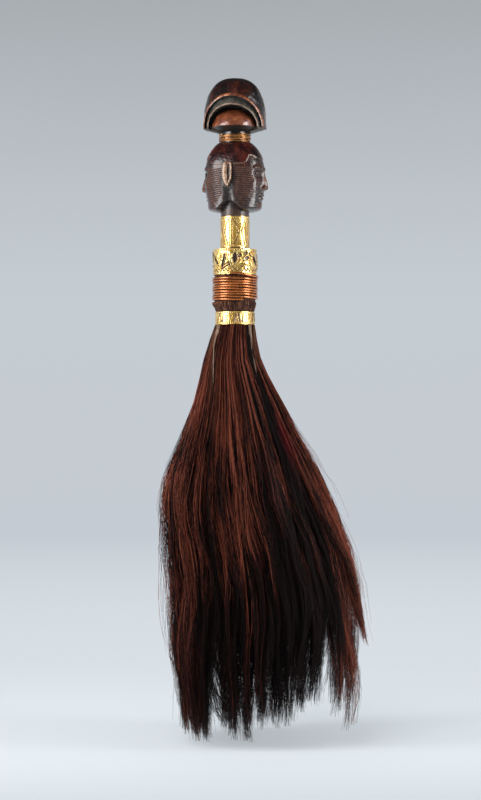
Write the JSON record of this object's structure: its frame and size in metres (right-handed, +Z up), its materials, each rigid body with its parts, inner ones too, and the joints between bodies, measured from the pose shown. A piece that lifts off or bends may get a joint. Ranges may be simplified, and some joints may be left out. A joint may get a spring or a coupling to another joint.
{
  "type": "fly whisk",
  "caption": "Hand-held fly whisk: carved two-faced wooden handle with gold foil sleeves and copper wire binding, and a long swinging tail of dark hair.",
  "frame": {"origin": "middle of the hand grip, on the handle's axis", "axes": "+Z up the handle towards the crest, +X out through one carved face, -X through the other, the ears on +Y and -Y"},
  "size_m": [0.1944, 0.1343, 0.6609],
  "materials": {
    "dark_hardwood": "oiled and hand-worn",
    "gilt_wire": "bright drawn wire",
    "gold_foil": "burnished foil, chased",
    "copper_wire": "polished round wire",
    "tail_hide": "raw hide, dry",
    "lashing_cord": "waxed cord",
    "iron_pin": "forged",
    "tail_hair": "natural animal hair"
  },
  "bodies": {
    "handle": {"carved_handle": "dark_hardwood", "crest_neck_wire": "gilt_wire", "upper_foil_sleeve": "gold_foil", "wide_foil_collar": "gold_foil", "lower_foil_band": "gold_foil", "binding_wire": "copper_wire", "hide_wrap": "tail_hide", "hide_strip_left": "tail_hide", "hide_strip_right": "tail_hide", "hair_root_bundle": "tail_hair", "throat_lashing": "lashing_cord", "tang_pin": "iron_pin"},
    "tail_root": {"hair_throat": "tail_hair"},
    "tail": {"core_hank": "tail_hair", "front_hank": "tail_hair", "right_front_hank": "tail_hair", "right_back_hank": "tail_hair", "back_hank": "tail_hair", "left_back_hank": "tail_hair", "left_front_hank": "tail_hair"}
  },
  "joints": [
    {"name": "tail_swing", "type": "hinge", "parent": "handle", "child": "tail_root", "pos_m": [0, 0, -0.05385], "axis": [0, 1, 0], "range_deg": [-45, 45], "deforming": ["hair_throat", "hide_strip_left", "hide_strip_right"]},
    {"name": "tail_sway", "type": "hinge", "parent": "tail_root", "child": "tail", "pos_m": [0, 0, -0.05385], "axis": [1, 0, 0], "range_deg": [-45, 45], "deforming": ["hair_throat", "hide_strip_left", "hide_strip_right"]}
  ]
}
